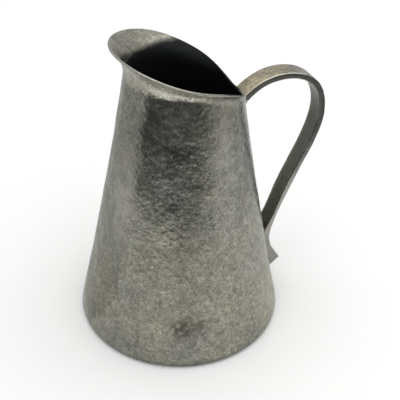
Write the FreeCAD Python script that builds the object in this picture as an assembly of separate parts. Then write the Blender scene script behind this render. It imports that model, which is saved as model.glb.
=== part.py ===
import FreeCAD, Part
import math
import os

# Hammered pewter water pitcher: a rolled sheet cone with a flared pouring rim,
# a flat base soldered inside, and a bent strap handle soldered on at two places.
# Millimetres. Z is up, the foot stands on Z = 0, the handle is on +X and the
# pouring lip is on -X. "turn" is the angle in degrees away from the pouring lip.
# Points written as pairs are (distance from the Z axis, height).

os.makedirs("parts", exist_ok=True)
V = FreeCAD.Vector

# sheet cone
FOOT_RADIUS = 70.0        # outer radius of the cone just above the rounded corner
FOOT_LEVEL = 3.0          # height at which that radius holds
WALL_TAPER = 0.2307       # radius lost per millimetre of height at the foot
WALL_HOLLOW = 1.884e-4    # slight concavity of the side
SHEET = 1.5               # sheet thickness
CORNER_RADIUS = 4.0       # rounded corner between side and foot
FLANGE_EDGE = 58.0        # inner radius of the turned-under foot flange
SEAM_WIDTH = 1.2          # gap between the sheet's two ends, behind the handle

# pouring rim
RIM_BACK = 155.0          # height the rim would fall to behind the handle
RIM_RISE = 40.5           # how much higher the pouring lip stands
RIM_AT_HANDLE = 159.8     # the rim levels out here, across the strap's end
RIM_BLEND = 1.2           # softness of that levelling
RIM_ROUND = 0.55          # how far the rim's edge bulges
FLARE_START = 176.5       # level where the side starts to turn outward, under a high rim
FLARE_LEAST = 7.5         # height of the turned stretch under a low rim
FLARE_EASE = 3.0          # softness of the change from one to the other
FLARE = (                 # (turn, how far the rim stands out beyond the cone)
    (0, 10.4), (30, 11.0), (55, 12.4), (80, 12.6), (105, 7.6), (130, 4.0), (155, 0.6), (180, 0.0),
)

# base
DISC_RADIUS = 65.0
DISC_THICKNESS = 1.8
BASE_SOLDER_LAP = 0.5     # how far the ring of solder laps onto the disc
BASE_SOLDER_RISE = 2.4    # how far it climbs the side above the rounded corner

# strap handle
STRAP_WIDTH = 14.0
STRAP_EDGE = 0.7          # rounding of its long edges
STRAP_LINE = (            # centre line, with the strap's thickness there
    ((33.0, 150.6), 4.9), ((40.0, 157.6), 4.9), ((47.2, 163.2), 4.7), ((57.0, 167.3), 4.6),
    ((66.0, 168.3), 4.5), ((75.2, 167.1), 4.3), ((83.2, 163.6), 4.2), ((89.6, 157.6), 4.1),
    ((93.4, 149.4), 4.1), ((94.8, 138.0), 4.1), ((92.6, 125.4), 4.0), ((83.6, 102.2), 3.8),
    ((74.4, 80.2), 3.8), ((65.8, 56.2), 3.7), ((61.8, 43.5), 3.7),
)
TAIL_OUTSIDE = ((65.5, 43.5), (66.5, 37.6), (68.4, 32.2), (72.0, 26.8))
TAIL_TIP = (75.0, 22.4)
TAIL_HEEL = (67.4, 14.6)

# solder at the strap's two ends
SOLDER_LEG = 1.8          # reach of the fillets along the tail's flanks
SOLDER_SAG = 0.35         # how far their faces are hollow
SOLDER_BITE = 0.4         # fillets are drawn from this deep inside the metal, then trimmed
FLANK_LEVELS = (15.2, 24.0, 33.0, 44.0)
UPPER_CORNER = ((38.6, 155.6), (39.6, 150.8), (43.6, 158.2))
LOWER_CORNER = ((59.9, 44.2), (59.0, 50.6), (62.4, 50.6))

# construction
SIDE_STATIONS = (0, 0.4, 0.75, 0.9, 0.96, 0.985)   # closer towards the bend, so the side stays straight there
LOFT_STEP = 7.5           # degrees between cross-sections of the sheet
CUT_ALLOWANCE = 0.5       # sections run this far below the foot before it is cut flat

LEAN = math.atan(WALL_TAPER)
TOE = CORNER_RADIUS * (1 + math.sin(LEAN))     # height where the rounded corner meets the side


def cone_radius(z):
    rise = z - FOOT_LEVEL
    return FOOT_RADIUS - WALL_TAPER * rise + WALL_HOLLOW * rise * rise


CORNER_CENTRE = cone_radius(TOE) - CORNER_RADIUS * math.cos(LEAN)


def on_corner(radius, angle):
    """A point of the rounded foot corner, at this radius about its centre."""
    return (CORNER_CENTRE + radius * math.cos(angle), CORNER_RADIUS + radius * math.sin(angle))


def spline(points):
    curve = Part.BSplineCurve()
    curve.interpolate(points)
    return curve


def from_lip(turn):
    """The same turn folded into 0 (pouring lip) to 180 (handle)."""
    return abs((turn + 180) % 360 - 180)


def rim_height(turn):
    plain = RIM_BACK + RIM_RISE * math.cos(math.radians(from_lip(turn)) / 2)
    over = plain - RIM_AT_HANDLE
    return RIM_AT_HANDLE + 0.5 * (over + math.hypot(over, RIM_BLEND))


def flare_line():
    stations = [(-turn, flare) for turn, flare in FLARE[:0:-1]] + list(FLARE)
    curve = Part.BSplineCurve()
    curve.interpolate(Points=[V(turn, flare, 0) for turn, flare in stations],
                      Parameters=[turn for turn, flare in stations])
    return curve


FLARE_LINE = flare_line()


def flare_height(top):
    """Height of the stretch that turns outward, under a rim at this height."""
    over = top - FLARE_START - FLARE_LEAST
    return FLARE_LEAST + 0.5 * (over + math.hypot(over, FLARE_EASE))


def side_point(z, top, flare, depth):
    """A point of the side, this deep under its outer surface."""
    height = flare_height(top)
    lift = max(0.0, (z - top + height) / height)
    rho = cone_radius(z) + flare * lift * lift
    slope = 2 * WALL_HOLLOW * (z - FOOT_LEVEL) - WALL_TAPER + 2 * flare * lift / height
    size = math.hypot(1, slope)
    return (rho - depth / size, z + depth * slope / size), (slope / size, 1 / size)


def sheet_section(turn):
    """Closed outline of the sheet in the upright plane at this turn."""
    top = rim_height(turn)
    flare = max(0.0, FLARE_LINE.value(from_lip(turn)).y)
    height = flare_height(top)
    bend = top - height
    levels = [TOE + share * (bend - TOE) for share in SIDE_STATIONS]
    levels += [bend + share * height for share in (0, 0.25, 0.5, 0.75, 1)]
    outer = [side_point(z, top, flare, 0)[0] for z in levels]
    inner = [side_point(z, top, flare, SHEET)[0] for z in levels]
    middle, along = side_point(top, top, flare, SHEET / 2)
    crest = (middle[0] + RIM_ROUND * along[0], middle[1] + RIM_ROUND * along[1])
    foot = [(CORNER_CENTRE, 0), (CORNER_CENTRE, -CUT_ALLOWANCE), (FLANGE_EDGE, -CUT_ALLOWANCE),
            (FLANGE_EDGE, SHEET), (CORNER_CENTRE, SHEET)]
    halfway = (LEAN - math.pi / 2) / 2
    angle = math.radians(180 - turn)

    def at(point):
        return V(point[0] * math.cos(angle), point[0] * math.sin(angle), point[1])

    def arc(start, through, end):
        return Part.Arc(at(start), at(through), at(end)).toShape()

    edges = [
        arc(foot[0], on_corner(CORNER_RADIUS, halfway), outer[0]),
        spline([at(point) for point in outer]).toShape(),
        arc(outer[-1], crest, inner[-1]),
        spline([at(point) for point in reversed(inner)]).toShape(),
        arc(inner[0], on_corner(CORNER_RADIUS - SHEET, halfway), foot[4]),
    ]
    edges += [Part.makeLine(at(foot[i]), at(foot[i - 1])) for i in (4, 3, 2, 1)]
    return Part.Wire(edges)


def sheet_stretch(first, last, step):
    """The sheet between two turns, with its foot cut flat on Z = 0."""
    count = math.ceil((last - first) / step)
    turns = [first + (last - first) * i / count for i in range(count + 1)]
    body = Part.makeLoft([sheet_section(turn) for turn in turns], True, False)
    below = Part.makeBox(4 * FOOT_RADIUS, 4 * FOOT_RADIUS, FOOT_RADIUS,
                         V(-2 * FOOT_RADIUS, -2 * FOOT_RADIUS, -FOOT_RADIUS))
    return body.cut(below)


def revolved(edges):
    return Part.Face(Part.Wire(edges)).revolve(V(0, 0, 0), V(0, 0, 1), 360)


def upright(points):
    return [V(x, 0, z) for x, z in points]


def chain(points):
    """Straight edges from each point to the next."""
    return [Part.makeLine(a, b) for a, b in zip(points, points[1:])]


def inside_of_side():
    """Everything inside the cone's outer surface, used to trim what lies against it."""
    low = TOE
    high = RIM_BACK + RIM_RISE
    side = upright([(cone_radius(low + share * (high - low)), low + share * (high - low))
                    for share in (0, 0.25, 0.5, 0.75, 1)])
    return revolved([spline(side).toShape()] + chain([side[-1]] + upright([(0, high), (0, low)]) + [side[0]]))


def base_disc():
    top = SHEET + DISC_THICKNESS
    corners = upright([(0, SHEET), (DISC_RADIUS, SHEET), (DISC_RADIUS, top), (0, top), (0, SHEET)])
    return revolved(chain(corners))


def base_seam_solder():
    """Ring filling the corner between the disc and the side."""
    top = SHEET + DISC_THICKNESS
    hollow = CORNER_RADIUS - SHEET
    under, low, high, lap, climb, toe, turn = upright([
        (CORNER_CENTRE, SHEET), (DISC_RADIUS, SHEET), (DISC_RADIUS, top),
        (DISC_RADIUS - BASE_SOLDER_LAP, top),
        side_point(TOE + BASE_SOLDER_RISE, RIM_BACK, 0, SHEET)[0],
        side_point(TOE, RIM_BACK, 0, SHEET)[0],
        on_corner(hollow, (LEAN - math.pi / 2) / 2)])
    sag = (lap + climb) * 0.5 + V(SOLDER_SAG, 0, -SOLDER_SAG)
    return revolved(chain([under, low, high, lap]) + [
        Part.Arc(lap, sag, climb).toShape(), Part.makeLine(climb, toe), Part.Arc(toe, turn, under).toShape()])


def strap_face(side):
    """Points of the strap's outer (+1) or inner (-1) face, off its centre line."""
    line = spline(upright([point for point, thickness in STRAP_LINE]))
    face = []
    for (x, z), thickness in STRAP_LINE:
        along = line.tangent(line.parameter(V(x, 0, z)))[0]
        face.append(V(x - side * along.z * thickness / 2, 0, z + side * along.x * thickness / 2))
    return face


def across_strap(edges):
    """A solid as wide as the strap, with this outline in the XZ plane."""
    wire = Part.Wire(edges)
    wire.translate(V(0, -STRAP_WIDTH / 2, 0))
    return Part.Face(wire).extrude(V(0, STRAP_WIDTH, 0))


def largest(shape):
    return max(shape.Solids, key=lambda solid: solid.Volume)


def handle_strap(trim):
    outer = strap_face(1)[:-1] + upright(TAIL_OUTSIDE + (TAIL_TIP,))
    inner = strap_face(-1)[::-1]
    heel = upright([TAIL_HEEL, (TAIL_HEEL[0] - CORNER_RADIUS, TAIL_HEEL[1])])
    body = across_strap([spline(outer).toShape()] + chain([outer[-1]] + heel + [inner[0]])
                        + [spline(inner).toShape(), Part.makeLine(inner[-1], outer[0])])
    long_edges = [edge for edge in body.Edges
                  if edge.Length > TAIL_TIP[0] and edge.BoundBox.YLength < STRAP_EDGE]
    return largest(body.makeFillet(STRAP_EDGE, long_edges).cut(trim))


def corner_fillet(points):
    """Solder across the strap, in a corner between it and the side."""
    corner, on_side, on_strap = upright(points)
    middle = (on_side + on_strap) * 0.45 + corner * 0.1
    return across_strap([Part.makeLine(corner, on_side), Part.Arc(on_side, middle, on_strap).toShape(),
                         Part.makeLine(on_strap, corner)])


def flank_fillet(side):
    """Solder along one flank of the strap's tail."""
    sections = []
    near = STRAP_WIDTH / 2 - SOLDER_BITE
    far = STRAP_WIDTH / 2 + SOLDER_LEG
    for z in FLANK_LEVELS:
        depth = cone_radius(z) - SOLDER_BITE
        root, toe = [V(math.sqrt(depth * depth - y * y), side * y, z) for y in (near, far)]
        peak = root + V(SOLDER_LEG + SOLDER_BITE, 0, 0)
        lip = toe + V(SOLDER_BITE, 0, 0)
        middle = (peak + lip) * 0.5 - V(SOLDER_SAG, side * SOLDER_SAG, 0)
        sections.append(Part.Wire([Part.makeLine(root, peak), Part.Arc(peak, middle, lip).toShape()]
                                  + chain([lip, toe, root])))
    return Part.makeLoft(sections, True, False)


def trimmed(fillets, tools):
    """The part of each fillet that stays outside the metal it joins."""
    kept = [largest(fillet.cut(list(tools))) for fillet in fillets]
    return kept[0] if len(kept) == 1 else Part.makeCompound(kept)


half_gap = math.degrees(SEAM_WIDTH / 2 / FOOT_RADIUS)
side_filled = inside_of_side()
strap = handle_strap(side_filled)
upper = trimmed([corner_fillet(UPPER_CORNER)], (side_filled, strap))
lower = trimmed([corner_fillet(LOWER_CORNER), flank_fillet(1), flank_fillet(-1)], (side_filled, strap))

pieces = {
    "body_wall": sheet_stretch(half_gap - 180, 180 - half_gap, LOFT_STEP),
    "wall_seam_solder": sheet_stretch(180 - half_gap, 180 + half_gap, half_gap),
    "base_disc": base_disc(),
    "base_seam_solder": base_seam_solder(),
    "handle_strap": strap,
    "handle_upper_solder": upper,
    "handle_lower_solder": lower,
}
for name, shape in pieces.items():
    print(name, shape.isValid(), len(shape.Solids), round(shape.Volume, 1))
    shape.exportStep("parts/" + name + ".step")
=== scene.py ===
import math

import bmesh
import bpy
import numpy as np
from mathutils import Matrix, Vector, kdtree

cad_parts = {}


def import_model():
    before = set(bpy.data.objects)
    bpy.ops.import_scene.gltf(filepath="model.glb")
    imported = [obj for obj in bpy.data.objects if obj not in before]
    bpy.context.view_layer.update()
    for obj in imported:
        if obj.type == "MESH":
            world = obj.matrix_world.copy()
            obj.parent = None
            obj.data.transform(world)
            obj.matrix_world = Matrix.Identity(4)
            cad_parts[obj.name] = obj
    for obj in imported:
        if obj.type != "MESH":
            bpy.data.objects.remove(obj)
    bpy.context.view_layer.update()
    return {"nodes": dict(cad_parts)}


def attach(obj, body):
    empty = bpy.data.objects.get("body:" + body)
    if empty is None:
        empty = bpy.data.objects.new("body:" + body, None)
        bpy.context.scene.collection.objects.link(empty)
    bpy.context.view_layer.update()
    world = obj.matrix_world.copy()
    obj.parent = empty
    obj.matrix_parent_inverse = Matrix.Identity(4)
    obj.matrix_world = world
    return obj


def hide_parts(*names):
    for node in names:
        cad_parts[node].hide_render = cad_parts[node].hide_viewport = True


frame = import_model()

MM = 0.001

# --- driving dimensions of the pitcher, millimetres ------------------------------------------
FOOT_RADIUS = 70.0
FOOT_LEVEL = 3.0
WALL_TAPER = 0.2307
WALL_HOLLOW = 1.884e-4
SHEET = 1.5
CORNER_RADIUS = 4.0
FLANGE_EDGE = 58.0
SEAM_WIDTH = 1.2
RIM_BACK = 155.0
RIM_RISE = 40.5
RIM_AT_HANDLE = 159.8
RIM_BLEND = 1.2
FLARE_START = 176.5
FLARE_LEAST = 7.5
FLARE_EASE = 3.0
FLARE_TURNS = (0, 30, 55, 80, 105, 130, 155, 180)
FLARE_OUT = (10.4, 11.0, 12.4, 12.6, 7.6, 4.0, 0.6, 0.0)
LEAN = math.atan(WALL_TAPER)
TOE = CORNER_RADIUS * (1 + math.sin(LEAN))

DISC_RADIUS = 65.0
DISC_THICKNESS = 1.8
STRAP_WIDTH = 14.0
STRAP_EDGE = 0.7
STRAP_LINE = (
    (33.0, 150.6), (40.0, 157.6), (47.2, 163.2), (57.0, 167.3), (66.0, 168.3), (75.2, 167.1), (83.2, 163.6),
    (89.6, 157.6), (93.4, 149.4), (94.8, 138.0), (92.6, 125.4), (83.6, 102.2), (74.4, 80.2), (65.8, 56.2),
    (61.8, 43.5),
)
STRAP_THICKNESS = (4.9, 4.9, 4.7, 4.6, 4.5, 4.3, 4.2, 4.1, 4.1, 4.1, 4.0, 3.8, 3.8, 3.7, 3.7)
TAIL_OUTSIDE = ((65.5, 43.5), (66.5, 37.6), (68.4, 32.2), (72.0, 26.8), (75.0, 22.4))
TAIL_ROOT_LEVELS = (36.5, 29.5, 22.0, 14.6)
SOLDER_LEG = 1.8          # reach of the fillets along the tail's flanks
SOLDER_BITE = 0.4         # the fillets start this deep inside the metal
UPPER_CORNER = ((38.6, 155.6), (39.6, 150.8), (43.6, 158.2))
LOWER_CORNER = ((59.9, 44.2), (59.0, 50.6), (62.4, 50.6))
INSIDE_TIDE = 181.2       # the inside is blackened up to this level

# --- camera, millimetres and radians ----------------------------------------------------------
CAMERA_PLACE = (-138.6, -375.2, 367.8)
CAMERA_PAN = 0.38566
CAMERA_PITCH = 0.61413
CAMERA_ROLL = 0.03392
CAMERA_LENS = 66.64


# --- finish, millimetres; a pair is a depth and the length over which it changes --------------------
WALL_SEED, SEAM_SEED, BASE_SEED, STRAP_SEED, SOLDER_SEED = 11, 12, 13, 14, 15

RIM_CROWN = 0.62          # roundness of the rim's edge, 1 is a half circle
RIM_INSIDE = (1.2, 2.2)   # angles over the rim's edge between which it turns into the inside
RIM_WORN = (0.8, 1.3)     # angles between which it turns into the rubbed crest
FAR_RIM = 20              # from this turn on the crest is as dark as the inside
GROOVE_BELOW = 0.7        # faint line under the rim, cut in and painted dark as shade: how far below, how wide and how deep
GROOVE_WIDTH = 0.9
GROOVE_DEPTH = 0.16

WALL_COLUMNS = 400
WALL_ROWS = 186
INNER_ROWS = 32
INNER_STRUCK = 0.4        # share of the blows' depth that shows inside
EDGE_FADE = 3.0           # blows fade out this near to the rim and the foot
BLOW_COUNT = 6800
BLOW_LEVELS = (2, 192)    # heights between which the side is struck
BLOW_BEND = 22.0          # radius that a small blow's dish is curved to
BLOW_SPREAD = 0.04        # how unequally deep the blows are
BLOW_DEPTH = 0.16
BROAD_COUNT = 700         # broad blows of the first shaping, under the small ones
BROAD_BEND = 260.0
BROAD_SPREAD = 0.06
BROAD_DEPTH = 0.14
SWELL = 0.12              # slow unevenness of the sheet and its length
SWELL_LENGTH = 60.0
RIPPLE = 0.07             # quicker unevenness and its length
RIPPLE_LENGTH = 26.0

DENT_PLACE = (-20.4, -61.0, 28.2)
DENT_SIZE = 9.0
DENT_STRETCH = 1.5
DENT_DEPTH = 0.35
STAINS = (((-20.8, -60.6, 29.3), 7.4, 1.0), ((-9.4, -62.8, 31.5), 4.6, 0.8), ((-7.4, -65.2, 22.5), 3.5, 0.5))
# painted highlights: pale cloudy patches on the side; place, size and strength
HIGHLIGHT_PATCHES = (((-43.6, -20.8, 105.0), 15.0, 1.0), ((13.0, -40.0, 138.0), 10.0, 0.55))
HIGHLIGHT_STRETCH = 0.45
SMEAR_PLACE = (50.0, -42.0, 20.0)
SMEAR_SIZE = 14.0
SMEAR_STRETCH = 0.8

SEAM_COLUMNS = 5
SEAM_ROWS = 160
SEAM_INNER_ROWS = 60
SEAM_OVERLAP = 1.25       # the solder laps into the sheet's two ends
SEAM_SUNK = 0.10          # how far it is filed below the sheet, with its slow and quick unevenness
SEAM_SLOW = (0.06, 9.0)
SEAM_QUICK = (0.04, 3.0)
SEAM_LEAST = 0.02
SEAM_CROWN = 0.16         # its sides lie this much lower than its middle
SEAM_WANDER = (0.12, 14.0)

BASE_RINGS = 66
BASE_STEPS = 180
BASE_BLOWS = 1500
BASE_BLOW_DEPTH = 0.10
BASE_BLOW_BEND = 22.0
BASE_BLOW_SPREAD = 0.02
LATHE_DEPTH = 0.015
LATHE_RATE = 2.4          # turning marks, radians a millimetre
BASE_SWELL = (0.1, 40.0)
BASE_LEAST = 0.01

STRAP_ROWS = 300
STRAP_SHADE_FADE = 2.6        # the painted shade on the underside fades out over this distance towards its edges
STRAP_FLANK = 0.05        # the flank's painted light and shade begin this near to the strap's side
STRAP_TAIL_SHADE = 0.3    # the cut tail takes this share of the underside's shade
STRAP_ROOT = 1.0          # how far the strap's end sits inside the sheet's outer face
STRAP_BLOWS = 900
STRAP_BLOW_DEPTH = 0.09
STRAP_BLOW_BEND = 30.0
STRAP_BLOW_SPREAD = 0.03
STRAP_WEAR = (0.07, 16.0)
STRAP_SWELL = (0.05, 30.0)
STRAP_TOP = (1.35, 40.0)  # the top near the root, painted with warm light and with brown and green patina: its strength at the root and the length over which it fades
TAIL_RINGS = (0.05, 0.35, 0.7)
TAIL_EASED = 0.25         # the cut tail's edge is rounded by this much

BEAD_STEPS = 8
BEAD_DRIFT = (0.16, 16.0)
BEAD_HOLLOW = 0.20        # how far a bead's face is hollow
BEAD_LUMP = (0.05, 2.6)
BEAD_OVERHANG = 0.1       # the corner beads run past the strap's edges by this much
BEAD_ROOT = 0.6           # and start this deep inside the wall
BEAD_TOE = 0.75
FLANK_FIRST = 0.6         # the flank beads start this far above the strap's heel
FLANK_LAST = 46.0
FLANK_SUNK = 0.2

# --- colours: how much light the metal throws back -------------------------------------------------
PEWTER_DARK = (0.175, 0.175, 0.162)
PEWTER_MID = (0.26, 0.258, 0.229)
PEWTER_LIGHT = (0.36, 0.355, 0.325)
PEWTER_OLIVE = (0.275, 0.27, 0.215)
PEWTER_COOL = (0.235, 0.235, 0.23)
# worn pewter of the rim crest, also the painted light on the strap's flank low down
PEWTER_WEAR_AND_SHEEN = (0.42, 0.415, 0.38)
LIP_WARM = (0.27, 0.262, 0.213)
# painted reflection: colour of the bright band under the flare and of the glint beside the strap
PAINTED_REFLECTION_COLOR = (0.56, 0.545, 0.465)
# painted highlight: colour of the pale cloudy patches
PAINTED_HIGHLIGHT = (0.53, 0.525, 0.475)
PEWTER_BLACK = (0.06, 0.06, 0.055)
STAIN = (0.045, 0.042, 0.03)
INSIDE_BLACK = (0.021, 0.023, 0.024)
# painted warm light on the strap's top near the root
STRAP_WARM_LIGHT = (0.44, 0.385, 0.265)
# painted highlight colour of the strap's rounded edges
STRAP_EDGE_HIGHLIGHT = (0.68, 0.66, 0.62)
STRAP_GREEN = (0.20, 0.205, 0.135)
STRAP_SHADE = (0.12, 0.12, 0.105)
STRAP_BROWN = (0.13, 0.10, 0.06)
SOLDER_YELLOW = (0.42, 0.40, 0.27)
BASE_SOLDER_GREY = (0.03, 0.03, 0.028)
FLOOR_SHADES = ((0.87, 0.87, 0.865), (0.90, 0.90, 0.895))
CARD_BLACK = (0.03, 0.032, 0.03)
CARD_GREY = (0.52, 0.52, 0.50)
CARD_SIDE = (0.58, 0.58, 0.56)
CARD_WHITE = (0.8, 0.8, 0.78)

# --- where the colours lie: heights in millimetres, angles round the axis in radians ---------------
WARM_FOOT = (140, 30)
# painted reflection: the band under the flare is painted bright between these heights and turns
FLARE_PAINTED_REFLECTION = (175.5, 178.5)
PAINTED_REFLECTION_FROM = (-2.85, -2.2)
PAINTED_REFLECTION_TO = (-1.55, -1.1)
# painted highlight: a bright glint strip on the wall beside the strap, between these turns and above these
# heights
GLINT_FROM = (-0.37, -0.30)
GLINT_TO = (-0.12, -0.08)
GLINT_FOOT = (20, 35)
# painted shade: the side darkens towards black below these heights at the foot
FOOT_PAINTED_SHADE = (6, 0.8)
TIDE_ABOVE = 2.4          # the blackened inside ends between these distances from its tide line
TIDE_BELOW = 2.0

# --- stage: millimetres and degrees round the pitcher; the light in metres and watts ----------------
FLOOR_REACH = 3000.0
FLOOR_LEVEL = -0.05
WORLD_HORIZON = 0.45
WORLD_ZENITH = 0.95
WORLD_RISE = 0.6          # how high the horizon's dimmer light reaches, 1 is straight up
CARD_STEPS = 40
CARD_RADIUS = 460.0
CARD_HEIGHT = 220.0
CARD_LIFT = 1.0           # height of the cards' sheets over the floor
CARD_NEAR = (76, 76, 76)
DARK_NEAR = (320, 450, 450)
CARD_FIRST = -177.0       # the dark card's two ends
CARD_LAST = -15.0
CARD_FADE = -102.0        # between these two it turns pale
CARD_PALE = -60.0
CARD_LEAN = 4.5           # how far the paling leans back, radians a metre of height
CARD_SPECKLE = 1.3
PALE_TURNS = (2.0, 1.0)   # the pale part ends between these angles, radians
GREY_TURNS = 120.0
SIDE_LAST = 60.0
LIGHT_PLACE = (0.2, -0.2, 1.9)
LIGHT_AIM = (0, 0, 0.1)
LIGHT_SIZE = 2.4
LIGHT_POWER = 16


def cone_radius(z):
    rise = z - FOOT_LEVEL
    return FOOT_RADIUS - WALL_TAPER * rise + WALL_HOLLOW * rise * rise


CORNER_CENTRE = cone_radius(TOE) - CORNER_RADIUS * math.cos(LEAN)


def natural_spline(x, y):
    """Natural cubic spline through the points, as a function that holds its end values outside them."""
    x = np.asarray(x, float)
    y = np.asarray(y, float)
    n = len(x)
    h = np.diff(x)
    a = np.zeros((n, n))
    b = np.zeros((n,) + y.shape[1:])
    a[0, 0] = a[-1, -1] = 1
    for i in range(1, n - 1):
        a[i, i - 1:i + 2] = (h[i - 1], 2 * (h[i - 1] + h[i]), h[i])
        b[i] = 6 * ((y[i + 1] - y[i]) / h[i] - (y[i] - y[i - 1]) / h[i - 1])
    m = np.linalg.solve(a, b)

    def at(t):
        t = np.clip(np.asarray(t, float), x[0], x[-1])
        i = np.clip(np.searchsorted(x, t) - 1, 0, n - 2)
        u = t - x[i]
        v = x[i + 1] - t
        if y.ndim > 1:
            u, v, hi = u[:, None], v[:, None], h[i][:, None]
        else:
            hi = h[i]
        return (m[i] * v ** 3 + m[i + 1] * u ** 3) / (6 * hi) + (y[i] / hi - m[i] * hi / 6) * v \
            + (y[i + 1] / hi - m[i + 1] * hi / 6) * u

    return at


mirrored_turns = [-t for t in FLARE_TURNS[:0:-1]] + list(FLARE_TURNS)
flare_at = natural_spline(mirrored_turns, list(FLARE_OUT[:0:-1]) + list(FLARE_OUT))


def rim_height(turn):
    plain = RIM_BACK + RIM_RISE * np.cos(np.radians(turn) / 2)
    over = plain - RIM_AT_HANDLE
    return RIM_AT_HANDLE + 0.5 * (over + np.hypot(over, RIM_BLEND))


def side(turn, z, depth):
    """Point (rho, z) of the side this deep under its outer face, and the outward normal there."""
    top = rim_height(turn)
    over = top - FLARE_START - FLARE_LEAST
    height = FLARE_LEAST + 0.5 * (over + np.hypot(over, FLARE_EASE))
    flare = np.maximum(0, flare_at(turn))
    lift = np.maximum(0, (z - top + height) / height)
    rho = cone_radius(z) + flare * lift * lift
    slope = 2 * WALL_HOLLOW * (z - FOOT_LEVEL) - WALL_TAPER + 2 * flare * lift / height
    size = np.hypot(1, slope)
    return rho - depth / size, z + depth * slope / size, 1 / size, -slope / size


# --- hammer blows -------------------------------------------------------------------------------
class Blows:
    """Overlapping dished hammer blows: the metal's surface is the deepest of them at each point."""

    def __init__(self, rng, centres, radius, spread):
        self.bend = radius * np.exp(rng.normal(0, 0.3, len(centres)))
        self.start = rng.uniform(0, spread, len(centres))
        self.tone = rng.uniform(0, 1, len(centres))
        self.tree = kdtree.KDTree(len(centres))
        for i, centre in enumerate(centres):
            self.tree.insert(centre, i)
        self.tree.balance()

    def dishes(self, points, near=5):
        """For each point, its height above the deepest possible dish, and the tone of the blow it lies in."""
        height = np.empty(len(points))
        tone = np.empty(len(points))
        for k, point in enumerate(points):
            height[k], winner = min((far * far / (2 * self.bend[i]) + self.start[i], i)
                                    for _, i, far in self.tree.find_n(point, near))
            tone[k] = self.tone[winner]
        return height, tone


def on_side(turns, levels):
    rho, z, _, _ = side(turns, levels, 0.0)
    angle = np.radians(180 - turns)
    return np.stack([rho * np.cos(angle), rho * np.sin(angle), z], 1)


def scattered(rng, count):
    """Blow centres scattered evenly over the pitcher's side."""
    turns = rng.uniform(-180, 180, 3 * count)
    levels = rng.uniform(*BLOW_LEVELS, 3 * count)
    keep = rng.uniform(0, 1, 3 * count) < cone_radius(levels) / FOOT_RADIUS
    return on_side(turns[keep][:count], levels[keep][:count])


def spaced(centres, rounds=2):
    """Pushes neighbours apart, as blows laid one beside another are."""
    for _ in range(rounds):
        tree = kdtree.KDTree(len(centres))
        for i, centre in enumerate(centres):
            tree.insert(centre, i)
        tree.balance()
        moved = centres.copy()
        for i, centre in enumerate(centres):
            for other, j, far in tree.find_n(centre, 6):
                if j != i:
                    moved[i] += 0.9 * (centre - np.array(other)) / max(far, 0.2) ** 2
        centres = moved
    return centres


def waves(rng, points, size, count=8):
    """A gentle unevenness, about -1 to 1: plane waves in random directions."""
    total = np.zeros(len(points))
    for _ in range(count):
        way = rng.normal(size=3)
        way *= 2 * math.pi / (size * rng.uniform(0.7, 1.5) * np.linalg.norm(way))
        total += np.sin(points @ way + rng.uniform(0, 2 * math.pi))
    return total / math.sqrt(count)


def uneven(rng, points, depth_and_size):
    """The same unevenness, as deep and as long as the pair says."""
    depth, size = depth_and_size
    return depth * waves(rng, points, size)


# --- mesh helpers -----------------------------------------------------------------------------------
def mesh_piece(name, points, faces, node=None):
    """A smooth piece from points in millimetres; it stands for a CAD node where one is named."""
    mesh = bpy.data.meshes.new(name)
    mesh.from_pydata([tuple(point) for point in np.asarray(points) * MM], [], faces)
    mesh.validate()
    bm = bmesh.new()
    bm.from_mesh(mesh)
    bmesh.ops.recalc_face_normals(bm, faces=bm.faces)
    bm.to_mesh(mesh)
    bm.free()
    mesh.polygons.foreach_set("use_smooth", [True] * len(mesh.polygons))
    mesh.update()
    obj = bpy.data.objects.new(name, mesh)
    bpy.context.scene.collection.objects.link(obj)
    if node:
        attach(obj, "root")
        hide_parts(node)
    return obj


def attribute(obj, name, values):
    layer = obj.data.attributes.new(name, "FLOAT", "POINT")
    layer.data.foreach_set("value", np.asarray(values, np.float32).reshape(-1))


def tube_faces(rows, around, ends=True):
    """Faces of closed loops of points, one loop a row, with both ends closed."""
    faces = []
    for i in range(rows - 1):
        for k in range(around):
            n = (k + 1) % around
            faces.append((i * around + k, i * around + n, (i + 1) * around + n, (i + 1) * around + k))
    if ends:
        faces.append(tuple(range(around))[::-1])
        faces.append(tuple((rows - 1) * around + k for k in range(around)))
    return faces


# --- the hammered sheet --------------------------------------------------------------------------
def sheet_loop(outer_rows, inner_rows):
    """Stations once round the sheet's section, from the foot flange up the outside and down the inside."""
    loop = [("foot", radius) for radius in np.linspace(FLANGE_EDGE, CORNER_CENTRE, 5)]
    loop += [("corner", angle) for angle in np.linspace(-math.pi / 2, LEAN, 9)[1:]]
    loop += [("outer", share) for share in np.linspace(0, 1, outer_rows)[1:]]
    loop += [("rim", angle) for angle in np.linspace(0, math.pi, 9)[1:-1]]
    loop += [("inner", share) for share in 1 - np.linspace(0, 1, inner_rows) ** 1.5]
    loop += [("hollow", angle) for angle in np.linspace(LEAN, -math.pi / 2, 6)[1:]]
    return loop + [("flange", FLANGE_EDGE)]


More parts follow.
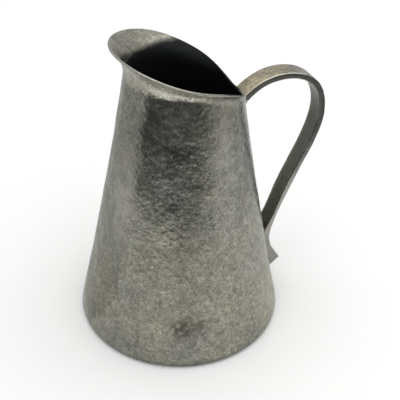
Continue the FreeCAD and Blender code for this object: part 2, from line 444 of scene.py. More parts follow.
def sheet_points(turns, loop):
    """Points, outward normals and section facts of the sheet, for every turn and station."""
    shape = (len(turns), len(loop))
    rho, z, inside, struck, rim = (np.zeros(shape) for _ in range(5))
    normal = np.zeros(shape + (2,))
    top = rim_height(turns)
    for k, (kind, value) in enumerate(loop):
        if kind == "foot":
            rho[:, k], z[:, k] = value, 0.0
            normal[:, k] = (0, -1)
        elif kind in ("corner", "hollow"):
            radius = CORNER_RADIUS if kind == "corner" else CORNER_RADIUS - SHEET
            facing = 1 if kind == "corner" else -1
            rho[:, k] = CORNER_CENTRE + radius * math.cos(value)
            z[:, k] = CORNER_RADIUS + radius * math.sin(value)
            normal[:, k] = (facing * math.cos(value), facing * math.sin(value))
            inside[:, k] = kind == "hollow"
            struck[:, k] = max(0, math.cos(value)) * (kind == "corner")
        elif kind == "outer":
            level = TOE + (top - TOE) * value
            rho[:, k], z[:, k], normal[:, k, 0], normal[:, k, 1] = side(turns, level, 0.0)
            struck[:, k] = 1
        elif kind == "inner":
            level = TOE + (top - TOE) * value
            rho[:, k], z[:, k], normal[:, k, 0], normal[:, k, 1] = side(turns, level, SHEET)
            normal[:, k] *= -1
            inside[:, k] = 1
            struck[:, k] = INNER_STRUCK
        elif kind == "rim":
            middle_rho, middle_z, out_rho, out_z = side(turns, top, SHEET / 2)
            across = math.cos(value)
            along = math.sin(value) * RIM_CROWN
            normal[:, k, 0] = out_rho * across - out_z * along
            normal[:, k, 1] = out_z * across + out_rho * along
            rho[:, k] = middle_rho + normal[:, k, 0] * SHEET / 2
            z[:, k] = middle_z + normal[:, k, 1] * SHEET / 2
            inside[:, k] = np.maximum(np.interp(value, RIM_INSIDE, (0, 1)), turns > FAR_RIM)
            rim[:, k] = np.interp(value, RIM_WORN, (0, 1))
        else:
            rho[:, k], z[:, k] = FLANGE_EDGE, SHEET
            normal[:, k] = (0, 1)
            inside[:, k] = 1
    angle = np.radians(180 - turns)[:, None]
    points = np.stack([rho * np.cos(angle), rho * np.sin(angle), z], 2).reshape(-1, 3)
    normals = np.stack([normal[:, :, 0] * np.cos(angle), normal[:, :, 0] * np.sin(angle), normal[:, :, 1]], 2)
    below = (top[:, None] - z).reshape(-1)
    return points, normals.reshape(-1, 3), inside.reshape(-1), struck.reshape(-1), rim.reshape(-1), below


def patch(points, place, size, stretch=1.0, power=2):
    """1 at the place and about 0 beyond its size; a stretch above 1 makes the patch lower, below 1 taller."""
    away = np.linalg.norm((points - np.array(place)) * (1, 1, stretch), axis=1)
    return np.exp(-(away / size) ** power)


def hammered_wall():
    rng = np.random.default_rng(WALL_SEED)
    half_gap = math.degrees(SEAM_WIDTH / 2 / FOOT_RADIUS)
    turns = np.linspace(half_gap - 180, 180 - half_gap, WALL_COLUMNS)
    loop = sheet_loop(WALL_ROWS, INNER_ROWS)
    points, normals, inside, struck, rim, below = sheet_points(turns, loop)
    small = Blows(rng, spaced(scattered(rng, BLOW_COUNT)), BLOW_BEND, BLOW_SPREAD)
    broad = Blows(rng, scattered(rng, BROAD_COUNT), BROAD_BEND, BROAD_SPREAD)
    hit = struck > 0
    relief = np.zeros(len(points))
    tone = np.full(len(points), 0.5)
    relief[hit], tone[hit] = small.dishes(points[hit])
    relief = np.minimum(relief, BLOW_DEPTH)
    drop = BLOW_DEPTH - relief
    drop[hit] += BROAD_DEPTH - np.minimum(broad.dishes(points[hit], 4)[0], BROAD_DEPTH)
    drop += SWELL * (1 + 0.5 * waves(rng, points, SWELL_LENGTH))
    drop += DENT_DEPTH * patch(points, DENT_PLACE, DENT_SIZE, DENT_STRETCH)
    drop += RIPPLE * (1 + waves(rng, points, RIPPLE_LENGTH))
    groove = np.exp(-((below - GROOVE_BELOW) / GROOVE_WIDTH) ** 2) * (inside < 0.5) * (rim < 0.5)
    fade = np.clip(below / EDGE_FADE, 0.2, 1) * np.clip(points[:, 2] / EDGE_FADE, 0, 1)
    points = points - normals * (np.maximum(drop, 0) * struck * fade + GROOVE_DEPTH * groove)[:, None]
    obj = mesh_piece("hammered_wall", points, tube_faces(len(turns), len(loop)), "body_wall")
    attribute(obj, "inside", inside)
    attribute(obj, "rim", rim)
    attribute(obj, "groove", groove)
    attribute(obj, "ridge", np.where(hit, np.clip(relief / BLOW_DEPTH, 0, 1), 0.5))
    attribute(obj, "tone", tone)
    attribute(obj, "smear", patch(points, SMEAR_PLACE, SMEAR_SIZE, SMEAR_STRETCH))
    stains = [share * patch(points, place, size, power=4) for place, size, share in STAINS]
    attribute(obj, "stain", np.max(stains, axis=0))
    # painted highlights: pale cloudy patches on the side
    clouds = [share * patch(points, place, size, HIGHLIGHT_STRETCH) for place, size, share in HIGHLIGHT_PATCHES]
    attribute(obj, "highlight_patch", np.max(clouds, axis=0))
    obj.data.materials.append(wall_material())


def seam_bead():
    """Solder that fills the gap between the sheet's two ends, filed nearly flush."""
    rng = np.random.default_rng(SEAM_SEED)
    half_gap = math.degrees(SEAM_WIDTH / 2 / FOOT_RADIUS)
    turns = 180 + np.linspace(-half_gap, half_gap, SEAM_COLUMNS) * SEAM_OVERLAP
    loop = sheet_loop(SEAM_ROWS, SEAM_INNER_ROWS)
    folded = np.where(turns > 180, turns - 360, turns)
    points, normals, inside = sheet_points(folded, loop)[:3]
    flush = SEAM_SUNK + uneven(rng, points, SEAM_SLOW) + uneven(rng, points, SEAM_QUICK)
    edge = np.repeat(np.linspace(-1, 1, SEAM_COLUMNS) ** 2, len(loop))
    points = points - normals * (np.maximum(flush, SEAM_LEAST) + SEAM_CROWN * edge)[:, None]
    points[:, 1] += uneven(rng, points, SEAM_WANDER)
    obj = mesh_piece("seam_bead", points, tube_faces(len(turns), len(loop)), "wall_seam_solder")
    attribute(obj, "inside", inside)
    obj.data.materials.append(solder_material("seam_alloy", 0.0))


def base_plate():
    """The base: a flat round plate, lightly hammered on both faces."""
    rng = np.random.default_rng(BASE_SEED)
    rings = np.linspace(0, DISC_RADIUS, BASE_RINGS)[1:]
    steps = BASE_STEPS
    angle = np.arange(steps) * 2 * math.pi / steps
    flat = np.concatenate([np.stack([radius * np.cos(angle), radius * np.sin(angle), np.zeros(steps)], 1)
                           for radius in rings])
    wide = [rng.uniform(-DISC_RADIUS, DISC_RADIUS, BASE_BLOWS) for _ in range(2)]
    centres = np.stack([*wide, np.zeros(BASE_BLOWS)], 1)
    blows = Blows(rng, centres, BASE_BLOW_BEND, BASE_BLOW_SPREAD)
    marks = BASE_BLOW_DEPTH - np.minimum(blows.dishes(flat)[0], BASE_BLOW_DEPTH)
    lathe = LATHE_DEPTH * (1 + np.sin(np.hypot(flat[:, 0], flat[:, 1]) * LATHE_RATE))
    swell = BASE_SWELL[0] + 0.5 * uneven(rng, flat, BASE_SWELL)
    sunk = np.zeros_like(flat)
    sunk[:, 2] = np.maximum(marks + lathe + swell, BASE_LEAST)
    under = flat + (0, 0, SHEET) + sunk
    over = flat + (0, 0, SHEET + DISC_THICKNESS) - sunk
    last = len(rings) - 1
    middle = [(0, 0, SHEET + BASE_SWELL[0]), (0, 0, SHEET + DISC_THICKNESS - BASE_SWELL[0])]
    points = np.concatenate([under, over, middle])
    total = len(flat)
    faces = []
    for i in range(last):
        for k in range(steps):
            n = (k + 1) % steps
            faces.append((i * steps + k, i * steps + n, (i + 1) * steps + n, (i + 1) * steps + k))
            faces.append(tuple(total + v for v in faces[-1])[::-1])
    for k in range(steps):
        n = (k + 1) % steps
        faces.append((2 * total, n, k))
        faces.append((2 * total + 1, total + k, total + n))
        faces.append((last * steps + k, last * steps + n, total + last * steps + n, total + last * steps + k))
    obj = mesh_piece("base_plate", points, faces, "base_disc")
    obj.data.materials.append(base_material())


# --- the strap handle --------------------------------------------------------------------------
def strap_outline():
    """Matching points of the strap's outer and inner faces, from the root down to the cut tail."""
    line = np.array(STRAP_LINE)
    chord = np.concatenate([[0], np.cumsum(np.hypot(*np.diff(line, axis=0).T))])
    centre_at = natural_spline(chord, line)
    ahead = centre_at(chord + 0.01) - centre_at(chord - 0.01)
    ahead /= np.linalg.norm(ahead, axis=1)[:, None]
    off = np.stack([-ahead[:, 1], ahead[:, 0]], 1) * np.array(STRAP_THICKNESS)[:, None] / 2
    levels = np.array(TAIL_ROOT_LEVELS)
    against = np.stack([cone_radius(levels) - STRAP_ROOT, levels], 1)
    outer = np.concatenate([(line + off)[:-1], TAIL_OUTSIDE])
    inner = np.concatenate([line - off, against])
    middle = (outer + inner) / 2
    run = np.concatenate([[0], np.cumsum(np.hypot(*np.diff(middle, axis=0).T))])
    even = np.linspace(0, run[-1], STRAP_ROWS)
    outer = natural_spline(run, outer)(even)
    inner = natural_spline(run, inner)(even)
    shown = np.argmax(outer[:, 0] > cone_radius(outer[:, 1]) - STRAP_ROOT)
    outer, inner = outer[shown:], inner[shown:]
    root = np.arange(len(inner)) < STRAP_ROWS // 8
    inner[root, 0] = np.maximum(inner[root, 0], cone_radius(inner[root, 1]) - STRAP_ROOT)
    return outer, inner, even[shown:] - even[shown]


def ramp(value):
    return min(1.0, max(0.0, value))


def strap_profile():
    """Stations once round the strap's section: place across it, the face it lies under, and how deep."""
    flat = STRAP_WIDTH / 2 - STRAP_EDGE
    steps = np.radians((0, 30, 60, 90))
    corner = list(zip(STRAP_EDGE * np.sin(steps), STRAP_EDGE * (1 - np.cos(steps))))
    across = np.linspace(-flat, flat, 13)
    profile = [(y, "outer", 0.0) for y in across[:-1]]
    profile += [(flat + a, "outer", b) for a, b in corner]
    profile += [(flat + a, "inner", b) for a, b in corner[::-1]]
    profile += [(y, "inner", 0.0) for y in across[::-1][1:-1]]
    profile += [(-flat - a, "inner", b) for a, b in corner]
    return profile + [(-flat - a, "outer", b) for a, b in corner[::-1][:-1]]


def strap_skin(outer, inner, profile):
    """Points and outward normals of the strap, one loop round it at each station, and the way through it."""
    flat = STRAP_WIDTH / 2 - STRAP_EDGE
    through = (inner - outer) / np.linalg.norm(inner - outer, axis=1)[:, None]
    loops = []
    facing = []
    for y, face, depth in profile:
        start, way = (outer, through) if face == "outer" else (inner, -through)
        place = start + way * depth
        loops.append(np.stack([place[:, 0], np.full(len(place), y), place[:, 1]], 1))
        tip = max(0.0, (abs(y) - flat) / STRAP_EDGE)
        lean = math.sqrt(max(0.0, 1 - tip * tip))
        sideways = np.full(len(place), np.sign(y) * tip)
        facing.append(np.stack([-way[:, 0] * lean, sideways, -way[:, 1] * lean], 1))
    return np.stack(loops, 1).reshape(-1, 3), np.stack(facing, 1).reshape(-1, 3), through


def strap_drop(rng, solid, outer, inner, even, sides):
    """How far hammering and wear lower each point of the strap."""
    along = rng.uniform(0, even[-1], STRAP_BLOWS)
    pick = rng.uniform(0, 1, STRAP_BLOWS) < 0.5
    on_outer, on_inner = (np.stack([np.interp(along, even, face[:, i]) for i in (0, 1)], 1)
                          for face in (outer, inner))
    base = np.where(pick[:, None], on_outer, on_inner)
    wide = rng.uniform(-STRAP_WIDTH / 2, STRAP_WIDTH / 2, STRAP_BLOWS)
    blows = Blows(rng, np.stack([base[:, 0], wide, base[:, 1]], 1), STRAP_BLOW_BEND, STRAP_BLOW_SPREAD)
    marks = STRAP_BLOW_DEPTH - np.minimum(blows.dishes(solid)[0], STRAP_BLOW_DEPTH)
    wear = (STRAP_WEAR[0] + uneven(rng, solid, STRAP_WEAR)) * sides
    swell = STRAP_SWELL[0] + uneven(rng, solid, STRAP_SWELL)
    return np.maximum(marks + wear + swell, 0)


def strap():
    rng = np.random.default_rng(STRAP_SEED)
    outer, inner, even = strap_outline()
    profile = strap_profile()
    rows = len(even)
    around = len(profile)
    half = STRAP_WIDTH / 2
    flat = half - STRAP_EDGE

    def all_along(value):
        """One value for each station of the section, repeated along the strap."""
        return np.repeat([[value(y, face) for y, face, _ in profile]], rows, 0).reshape(-1)

    solid, normals, through = strap_skin(outer, inner, profile)
    sides = all_along(lambda y, face: float(abs(y) > flat))
    solid = solid - normals * strap_drop(rng, solid, outer, inner, even, sides)[:, None]
    end = solid[-around:].copy()
    heart = end.mean(0)
    push = np.array([through[-1, 1], 0, -through[-1, 0]])
    if push[2] > 0:
        push = -push
    rings = [end * (1 - s) + heart * s for s in TAIL_RINGS]
    solid[-around:] = end - push * TAIL_EASED
    points = np.concatenate([solid, *rings, [heart]])
    faces = tube_faces(rows + len(rings), around, ends=False)
    faces.append(tuple(range(around)))
    tip = len(points) - 1
    first = tip - around
    faces += [(first + k, first + (k + 1) % around, tip) for k in range(around)]
    obj = mesh_piece("strap", points, faces, "handle_strap")

    def spread(name, values, tail=0.0):
        """An attribute with one value for the whole cut tail."""
        attribute(obj, name, np.concatenate([values, np.full(len(points) - len(values), tail)]))

    spread("edge", all_along(lambda y, face: ramp((abs(y) - flat) / STRAP_EDGE)))
    spread("flank", all_along(lambda y, face: float(abs(y) > half - STRAP_FLANK)))
    spread("under", all_along(lambda y, face: (face == "inner") * ramp((flat - abs(y)) / STRAP_SHADE_FADE)),
           tail=STRAP_TAIL_SHADE)
    strength, length = STRAP_TOP
    spread("top", np.repeat(np.clip(strength - even / length, 0, 1), around))
    obj.data.materials.append(strap_material())


# --- solder at the strap's ends --------------------------------------------------------------------
def bead(rng, stations):
    """A lumpy run of solder: at each station a corner point and its two feet, joined by a hollow face."""
    rows = []
    count = len(stations)
    shares = np.linspace(0, 1, BEAD_STEPS)
    drift = uneven(rng, np.stack([np.arange(count) * 1.0, np.zeros(count), np.zeros(count)], 1), BEAD_DRIFT)
    for i, (corner, one, two) in enumerate(stations):
        corner, one, two = (np.array(point, float) for point in (corner, one, two))
        end = min(i, count - 1 - i)
        grow = min(1.0, 0.35 + 0.3 * end) * (1 + drift[i])
        one = corner + (one - corner) * grow
        two = corner + (two - corner) * grow
        chord = [one * (1 - t) + two * t for t in shares]
        row = [point + (corner - point) * BEAD_HOLLOW * 4 * t * (1 - t) for t, point in zip(shares, chord)]
        rows.append(row + [corner])
    points = np.concatenate([np.array(row) for row in rows])
    points += np.stack([uneven(rng, points, BEAD_LUMP) for _ in range(3)], 1)
    return points, tube_faces(count, len(shares) + 1)


def merged(parts):
    points, faces, offset = [], [], 0
    for some, these in parts:
        points.append(some)
        faces += [tuple(v + offset for v in face) for face in these]
        offset += len(some)
    return np.concatenate(points), faces


def corner_stations(outline, count=40):
    """Stations of a bead that runs across the strap, in its corner with the wall."""
    corner, on_wall, on_strap = outline
    half = STRAP_WIDTH / 2 + BEAD_OVERHANG
    radius = cone_radius(on_wall[1])
    out = []
    for y in np.linspace(-half, half, count):
        back = radius - math.sqrt(radius ** 2 - y * y)
        root = (corner[0] - BEAD_ROOT - back, y, corner[1])
        toe = (on_wall[0] - BEAD_TOE - back, y, on_wall[1])
        out.append((root, toe, (on_strap[0], y, on_strap[1])))
    return out


def flank_stations(way, count=60):
    """Stations of a bead that runs up one flank of the strap's tail."""
    out = []
    near = STRAP_WIDTH / 2 - SOLDER_BITE
    far = STRAP_WIDTH / 2 + SOLDER_LEG
    for z in np.linspace(TAIL_ROOT_LEVELS[-1] + FLANK_FIRST, FLANK_LAST, count):
        depth = cone_radius(z) - SOLDER_BITE - FLANK_SUNK
        root = (math.sqrt(depth * depth - near * near), way * near, z)
        toe = (math.sqrt(depth * depth - far * far), way * far, z)
        peak = (root[0] + SOLDER_LEG + SOLDER_BITE + FLANK_SUNK, way * (near + FLANK_SUNK), z)
        out.append((root, toe, peak))
    return out


def solder_beads():
    rng = np.random.default_rng(SOLDER_SEED)
    upper = mesh_piece("upper_solder", *bead(rng, corner_stations(UPPER_CORNER)), "handle_upper_solder")
    upper.data.materials.append(solder_material("upper_alloy", 0.3))
    runs = (corner_stations(LOWER_CORNER), flank_stations(1), flank_stations(-1))
    parts = [bead(rng, stations) for stations in runs]
    lower = mesh_piece("lower_solder", *merged(parts), "handle_lower_solder")
    lower.data.materials.append(solder_material("lower_alloy", 1.0))


# --- materials -------------------------------------------------------------------------------------
class Nodes:
    """Small helper that writes a node material from its inputs towards its output."""

    def __init__(self, name):
        self.material = bpy.data.materials.new(name)
        self.material.use_nodes = True
        self.tree = self.material.node_tree
        self.tree.nodes.clear()
        self.out = self.tree.nodes.new("ShaderNodeOutputMaterial")

    def add(self, kind, inputs=(), **settings):
        node = self.tree.nodes.new("ShaderNode" + kind)
        for key, value in settings.items():
            setattr(node, key, value)
        for key, value in dict(inputs).items():
            self.put(node, key, value)
        return node

    def put(self, node, key, value):
        socket = node.inputs[key]
        if isinstance(value, bpy.types.NodeSocket):
            self.tree.links.new(value, socket)
        elif isinstance(value, tuple) and socket.type == "RGBA":
            socket.default_value = (*value[:3], 1)
        else:
            socket.default_value = value

    def place(self, scale=(1, 1, 1), turn=(0, 0, 0)):
        where = self.add("TexCoord").outputs["Object"]
        return self.add("Mapping", {"Vector": where, "Scale": scale, "Rotation": turn}).outputs["Vector"]

    def level(self):
        where = self.add("TexCoord").outputs["Object"]
        return self.add("SeparateXYZ", {"Vector": where}).outputs["Z"]

    def turn(self):
        """Angle round the pitcher's axis, radians."""
        parts = self.add("SeparateXYZ", {"Vector": self.add("TexCoord").outputs["Object"]}).outputs
        return self.math("ARCTAN2", parts["Y"], parts["X"])

    def noise(self, scale, detail=4.0, rough=0.55, vector=None):
        node = self.add("TexNoise", {"Vector": vector or self.place(), "Scale": scale, "Detail": detail,
                                     "Roughness": rough})
        return node.outputs["Fac"]

    def cells(self, scale):
        return self.add("TexVoronoi", {"Vector": self.place(), "Scale": scale}).outputs["Distance"]

    def span(self, value, low, high, to_low=0.0, to_high=1.0):
        node = self.add("MapRange", {"Value": value, "From Min": low, "From Max": high,
                                     "To Min": to_low, "To Max": to_high}, interpolation_type="SMOOTHSTEP")
        return node.outputs["Result"]

    def math(self, operation, one, two=0.0):
        node = self.add("Math", operation=operation)
        self.put(node, 0, one)
        self.put(node, 1, two)
        return node.outputs[0]

    def times(self, *factors):
        value = factors[0]
        for factor in factors[1:]:
            value = self.math("MULTIPLY", value, factor)
        return value

    def mix(self, factor, one, two):
        node = self.add("Mix", data_type="RGBA")
        self.put(node, 0, factor)
        self.put(node, 6, one)
        self.put(node, 7, two)
        return node.outputs[2]

    def scaled(self, color, *factors):
        """The colour made lighter or darker, its hue kept."""
        for factor in factors:
            node = self.add("VectorMath", {0: color, "Scale": factor}, operation="SCALE")
            color = node.outputs[0]
        return color

    def grain(self, scale, stretch, turn):
        """Fine scratches: noise drawn out along one turned axis."""
        where = self.add("TexCoord").outputs["Object"]
        drawn = self.add("Mapping", {"Vector": where, "Scale": stretch, "Rotation": turn},
                         vector_type="TEXTURE")
        return self.noise(scale, 4, 0.65, drawn.outputs["Vector"])

    def fact(self, name):
        return self.add("Attribute", attribute_name=name).outputs["Fac"]

    def bump(self, height, strength, distance, normal=None):
        inputs = {"Height": height, "Strength": strength, "Distance": distance}
        if normal is not None:
            inputs["Normal"] = normal
        return self.add("Bump", inputs).outputs["Normal"]

    def finish(self, color, roughness, metallic, normal=None):
        inputs = {"Base Color": color, "Roughness": roughness, "Metallic": metallic}
        if normal is not None:
            inputs["Normal"] = normal
        shader = self.add("BsdfPrincipled", inputs)
        self.tree.links.new(shader.outputs[0], self.out.inputs[0])
        return self.material


def millimetres(*levels):
    return [level * MM for level in levels]


def aged_pewter(n, tone=1.0):
    """Colour of old pewter: cloudy oxide over grey metal, with faint olive and cool patches."""
    def shade(color):
        return tuple(part * tone for part in color)

    clouds = n.noise(24, 5, 0.6, n.place((1, 1, 0.45)))
    grains = n.noise(130, 4, 0.65)
    olive = n.noise(17, 3, 0.5, n.place((1, 1, 0.6), (1, 2, 3)))
    cool = n.noise(21, 3, 0.5, n.place((1, 1, 0.4), (3, 1, 2)))
    specks = n.noise(520, 3, 0.6)
    color = n.mix(n.span(clouds, 0.34, 0.66), shade(PEWTER_DARK), shade(PEWTER_MID))
    color = n.mix(n.times(n.span(grains, 0.42, 0.75), 0.5), color, shade(PEWTER_LIGHT))
    color = n.mix(n.times(n.span(olive, 0.5, 0.66), 0.6), color, shade(PEWTER_OLIVE))
    color = n.mix(n.times(n.span(cool, 0.55, 0.7), 0.5), color, shade(PEWTER_COOL))
    return n.mix(n.times(n.span(specks, 0.60, 0.74), 0.35), color, shade(PEWTER_DARK))


def patina_and_painted_reflection(n, inside, level, turn):
    """The sheet's colour: warmer towards the foot, with a painted reflection as a bright band under the
    flare, mottled from blow to blow.
    """
    color = aged_pewter(n)
    warmth = n.times(n.span(level, *millimetres(*WARM_FOOT)), n.span(n.noise(25, 3), 0.35, 0.6, 0.3, 0.9))
    color = n.mix(warmth, color, PEWTER_OLIVE)
    ragged = n.math("ADD", level, n.span(n.noise(170, 4, 0.7), 0.2, 0.8, *millimetres(-3, 3)))
    # painted reflection: the underside of the flare painted bright, as if it mirrored the bright floor
    flare = n.times(n.span(ragged, *millimetres(*FLARE_PAINTED_REFLECTION)), n.span(inside, 1.0, 0.0))
    shown = n.times(n.span(turn, *PAINTED_REFLECTION_FROM, 0.6, 1.0), n.span(turn, *PAINTED_REFLECTION_TO, 1.0, 0.2))
    color = n.mix(n.times(flare, shown, 0.85), color, PAINTED_REFLECTION_COLOR)
    lip = n.times(inside, n.span(n.noise(60, 3), 0.3, 0.6, 0.3, 0.8))
    color = n.mix(lip, color, LIP_WARM)
    blow_by_blow = n.span(n.fact("tone"), 0.0, 1.0, 0.89, 1.11)
    mottle = n.span(n.noise(330, 2, 0.5), 0.30, 0.70, 0.88, 1.12)
    speckle = n.span(n.noise(780, 2, 0.6), 0.33, 0.67, 0.76, 1.24)
    streaks = n.span(n.noise(75, 4, 0.6, n.place((1, 1, 0.1))), 0.30, 0.50, 0.84, 1.0)
    ridges = n.span(n.fact("ridge"), 0.3, 0.9, 0.96, 1.12)
    return n.scaled(color, blow_by_blow, mottle, speckle, streaks, ridges)


def wear_and_painted_light(n, color, level, turn):
    """Painted highlights and shade over the sheet's colour: pale highlight patches, a glint beside the strap,
    shade in the groove under the rim and at the foot; also the rubbed rim crest, the smear and the stains.
    """
    # painted highlight: pale cloudy patches, mottled
    highlight_patch = n.times(n.fact("highlight_patch"), n.span(n.noise(120, 4, 0.6), 0.3, 0.6, 0.15, 0.65))
    color = n.mix(highlight_patch, color, PAINTED_HIGHLIGHT)
    # painted highlight: a bright glint strip on the wall beside the strap
    painted_glint = n.times(n.span(turn, *GLINT_FROM), n.span(turn, *GLINT_TO, 1.0, 0.0),
                     n.span(level, *millimetres(*GLINT_FOOT)), 0.5)
    color = n.mix(painted_glint, color, PAINTED_REFLECTION_COLOR)
    color = n.mix(n.times(n.fact("rim"), 0.4), color, PEWTER_WEAR_AND_SHEEN)
    # painted shade: the groove under the rim darkened nearly to black
    color = n.mix(n.times(n.fact("groove"), 0.9), color, PEWTER_BLACK)
    smear = n.times(n.fact("smear"), n.span(n.noise(150, 3), 0.4, 0.6, 0.0, 0.5))
    color = n.mix(smear, color, SOLDER_YELLOW)
    ragged = n.noise(260, 4, 0.7, n.place((1, 1, 1), (0.5, 0, 1)))
    blotch = n.times(n.fact("stain"), n.span(ragged, 0.36, 0.54), 0.8)
    color = n.mix(blotch, color, STAIN)
    # painted shade: darker towards the foot
    return n.mix(n.span(level, *millimetres(*FOOT_PAINTED_SHADE), 0.0, 0.65), color, PEWTER_BLACK)


def wall_material():
    n = Nodes("hammered_pewter")
    inside = n.fact("inside")
    level = n.level()
    turn = n.turn()
    color = wear_and_painted_light(n, patina_and_painted_reflection(n, inside, level, turn), level, turn)
    tide = n.math("ADD", level, n.span(n.noise(60, 4, 0.6), 0.3, 0.7, *millimetres(-0.8, 0.8)))
    tide_line = millimetres(INSIDE_TIDE + TIDE_ABOVE, INSIDE_TIDE - TIDE_BELOW)
    black = n.times(inside, n.span(tide, *tide_line))
    color = n.mix(black, color, INSIDE_BLACK)
    rough = n.math("ADD", n.span(n.noise(70, 4, 0.6), 0.3, 0.7, 0.21, 0.34), n.times(black, 0.4))
    normal = n.bump(n.cells(430), 0.14, 0.0006)
    normal = n.bump(n.noise(800, 3, 0.6), 0.22, 0.0003, normal)
    return n.finish(color, rough, 0.97, normal)


def strap_material():
    n = Nodes("strap_pewter")
    top = n.fact("top")
    level = n.level()
    bevel = n.times(n.fact("edge"), n.span(top, 0.45, 0.1))
    flank = n.math("MAXIMUM", n.fact("flank"), bevel)
    # painted shade: the strap's pewter is a darker copy of the wall's, toning down its bright reflections
    # from above
    color = aged_pewter(n, 0.86)
    # painted warm light: the strap's top near the root painted warm and lighter, as if lit warmly from above
    painted_warm_light = n.times(top, n.span(n.noise(90, 4, 0.6), 0.35, 0.6, 0.55, 1.0))
    color = n.mix(painted_warm_light, color, STRAP_WARM_LIGHT)
    green = n.times(top, n.span(n.noise(140, 3, 0.6, n.place((1, 1, 1), (1, 0, 2))), 0.5, 0.62, 0.0, 0.6))
    color = n.mix(green, color, STRAP_GREEN)
    spots = n.times(top, n.span(n.noise(330, 4, 0.7), 0.58, 0.68, 0.0, 0.7))
    color = n.mix(spots, color, STRAP_BROWN)
    scratch = n.grain(900, (1, 7, 1), (0, 0, 0.9))
    color = n.scaled(color,
                     n.span(scratch, 0.35, 0.65, 0.78, 1.22),
                     n.span(n.noise(450, 3, 0.7), 0.30, 0.70, 0.80, 1.20))
    # painted light: the flank made lighter low down
    color = n.mix(n.times(flank, n.span(level, 0.11, 0.08, 0.0, 0.5)), color, PEWTER_WEAR_AND_SHEEN)
    color = n.mix(n.times(n.fact("under"), n.span(level, 0.05, 0.08, 0.3, 0.85)), color, STRAP_SHADE)
    # painted shade: the flank darkened nearly to black higher up
    color = n.mix(n.times(flank, n.span(level, 0.09, 0.135, 0.0, 0.9)), color, PEWTER_BLACK)
    # painted highlight: the strap's rounded edges painted bright
    ridge = n.times(n.span(n.fact("edge"), 0.3, 0.6), n.span(n.fact("flank"), 1.0, 0.4),
                    n.span(n.noise(110, 3), 0.35, 0.5, 0.4, 1.0), n.span(top, 0.05, 0.4, 0.1, 1.0))
    color = n.mix(ridge, color, STRAP_EDGE_HIGHLIGHT)
    tip = n.times(n.fact("edge"), n.span(level, 0.048, 0.038, 0.0, 0.2))
    color = n.mix(tip, color, PEWTER_BLACK)
    normal = n.bump(scratch, 0.25, 0.0004)
    normal = n.bump(n.noise(420, 4, 0.6), 0.2, 0.0005, normal)
    return n.finish(color, n.span(scratch, 0.35, 0.7, 0.26, 0.42), 0.96, normal)


def solder_material(name, yellow):
    n = Nodes(name)
    color = n.mix(n.span(n.noise(120, 4, 0.6), 0.35, 0.65), PEWTER_MID, PEWTER_LIGHT)
    tarnish = n.times(n.span(n.noise(60, 3), 0.3, 0.6, 0.5, 1.0), 0.2 + 0.5 * yellow)
    color = n.mix(tarnish, color, SOLDER_YELLOW)
    rough = n.span(n.noise(200, 4, 0.6), 0.3, 0.7, 0.28, 0.5)
    normal = n.bump(n.noise(600, 4, 0.65), 0.35, 0.0005)
    return n.finish(color, rough, 0.95, normal)


def base_material():
    n = Nodes("base_pewter")
    inner = n.span(n.level(), *millimetres(SHEET + 0.8, SHEET + 1.0))
    color = n.mix(inner, aged_pewter(n, 0.8), INSIDE_BLACK)
    normal = n.bump(n.noise(500, 4, 0.6), 0.25, 0.0005)
    return n.finish(color, n.span(n.noise(60, 4), 0.3, 0.7, 0.3, 0.5), 0.95, normal)


def base_solder_material():
    n = Nodes("base_alloy")
    color = n.mix(n.span(n.noise(150, 4, 0.6), 0.35, 0.65), INSIDE_BLACK, BASE_SOLDER_GREY)
    normal = n.bump(n.noise(400, 4, 0.65), 0.5, 0.0008)
    return n.finish(color, n.span(n.noise(90, 4), 0.3, 0.7, 0.4, 0.6), 0.95, normal)


# --- stage --------------------------------------------------------------------------------------
def camera():
    data = bpy.data.cameras.new("camera")
    data.lens = CAMERA_LENS
    data.sensor_width = 36
    data.clip_start = 0.01
    obj = bpy.data.objects.new("camera", data)
    bpy.context.scene.collection.objects.link(obj)
    pan, pitch, roll = CAMERA_PAN, CAMERA_PITCH, CAMERA_ROLL
    forward = Vector((math.sin(pan) * math.cos(pitch), math.cos(pan) * math.cos(pitch), -math.sin(pitch)))
    level = Vector((math.cos(pan), -math.sin(pan), 0))
    up = level.cross(forward)
    right = level * math.cos(roll) + up * math.sin(roll)
    upright = up * math.cos(roll) - level * math.sin(roll)
    place = Vector(CAMERA_PLACE) * MM
    rows = [(right[i], upright[i], -forward[i], place[i]) for i in range(3)]
    obj.matrix_world = Matrix(rows + [(0, 0, 0, 1)])
    bpy.context.scene.camera = obj


def floor():
    ways = ((-1, -1), (1, -1), (1, 1), (-1, 1))
    corners = [(x * FLOOR_REACH, y * FLOOR_REACH, FLOOR_LEVEL) for x, y in ways]
    obj = mesh_piece("floor", corners, [(0, 1, 2, 3)])
    n = Nodes("floor_paper")
    color = n.mix(n.noise(6, 3), *FLOOR_SHADES)
    obj.data.materials.append(n.finish(color, n.span(n.noise(9, 2), 0.3, 0.7, 0.85, 0.95), 0.0))


def area_light(name, place, size, power):
    """A square softbox that faces the pitcher."""
    data = bpy.data.lights.new(name, "AREA")
    data.shape = "SQUARE"
    data.size = size
    data.energy = power
    obj = bpy.data.objects.new(name, data)
    bpy.context.scene.collection.objects.link(obj)
    obj.location = place
    obj.rotation_euler = (Vector(LIGHT_AIM) - Vector(place)).to_track_quat("-Z", "Y").to_euler()


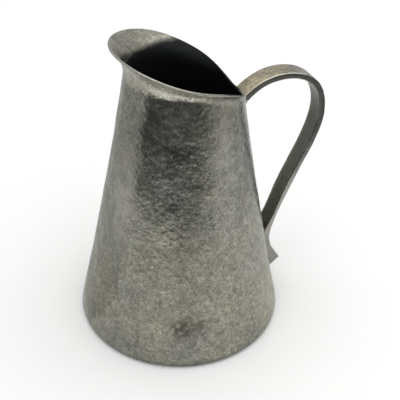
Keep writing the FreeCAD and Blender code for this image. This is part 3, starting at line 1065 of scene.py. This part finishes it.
def world():
    """Even white light, dimmer towards the horizon."""
    made = bpy.data.worlds.new("studio")
    bpy.context.scene.world = made
    made.use_nodes = True
    tree = made.node_tree
    where = tree.nodes.new("ShaderNodeTexCoord")
    parts = tree.nodes.new("ShaderNodeSeparateXYZ")
    rise = tree.nodes.new("ShaderNodeMapRange")
    tree.links.new(where.outputs["Generated"], parts.inputs[0])
    tree.links.new(parts.outputs["Z"], rise.inputs["Value"])
    rise.inputs["From Min"].default_value = 0.0
    rise.inputs["From Max"].default_value = WORLD_RISE
    rise.inputs["To Min"].default_value = WORLD_HORIZON
    rise.inputs["To Max"].default_value = WORLD_ZENITH
    background = tree.nodes["Background"]
    background.inputs[0].default_value = (1, 1, 1, 1)
    tree.links.new(rise.outputs[0], background.inputs[1])


def card(name, first, last, inner, shade):
    """A curved upright card, with a sheet on the floor before it, that only the metal mirrors.

    Its ends are in degrees. inner is how near the sheet comes at its start, a quarter on and at its end.
    """
    points = []
    for i in range(CARD_STEPS + 1):
        share = i / CARD_STEPS
        angle = math.radians(first + (last - first) * share)
        near = np.interp(share, (0, 0.25, 1), inner)
        line = ((near, CARD_LIFT), (CARD_RADIUS, CARD_LIFT), (CARD_RADIUS, CARD_HEIGHT))
        points += [(radius * math.cos(angle), radius * math.sin(angle), height) for radius, height in line]
    quad = (0, 3, 4, 1)
    faces = [tuple(3 * i + k + corner for corner in quad) for i in range(CARD_STEPS) for k in range(2)]
    obj = mesh_piece(name, points, faces)
    n = Nodes(name + "_felt")
    angle = n.turn()
    leaned = n.math("SUBTRACT", angle, n.times(n.level(), CARD_LEAN))
    pale = n.span(leaned, math.radians(CARD_FADE), math.radians(CARD_PALE))
    pale = n.times(pale, n.span(angle, *PALE_TURNS))
    felt = n.mix(n.noise(8), shade, tuple(CARD_SPECKLE * part for part in shade))
    obj.data.materials.append(n.finish(n.mix(pale, felt, CARD_WHITE), 1.0, 0.0))
    obj.visible_camera = False
    obj.visible_diffuse = False
    obj.visible_shadow = False


hammered_wall()
seam_bead()
base_plate()
strap()
solder_beads()
base_solder = frame["nodes"]["base_seam_solder"]
base_solder.data.materials.clear()
base_solder.data.materials.append(base_solder_material())

camera()
floor()
world()
card("dark_card", CARD_FIRST, CARD_LAST, DARK_NEAR, CARD_BLACK)
card("grey_card", CARD_FIRST - GREY_TURNS, CARD_FIRST, CARD_NEAR, CARD_GREY)
card("right_card", CARD_LAST, SIDE_LAST, CARD_NEAR, CARD_SIDE)
area_light("overhead", LIGHT_PLACE, LIGHT_SIZE, LIGHT_POWER)
bpy.context.scene.view_settings.view_transform = "Standard"
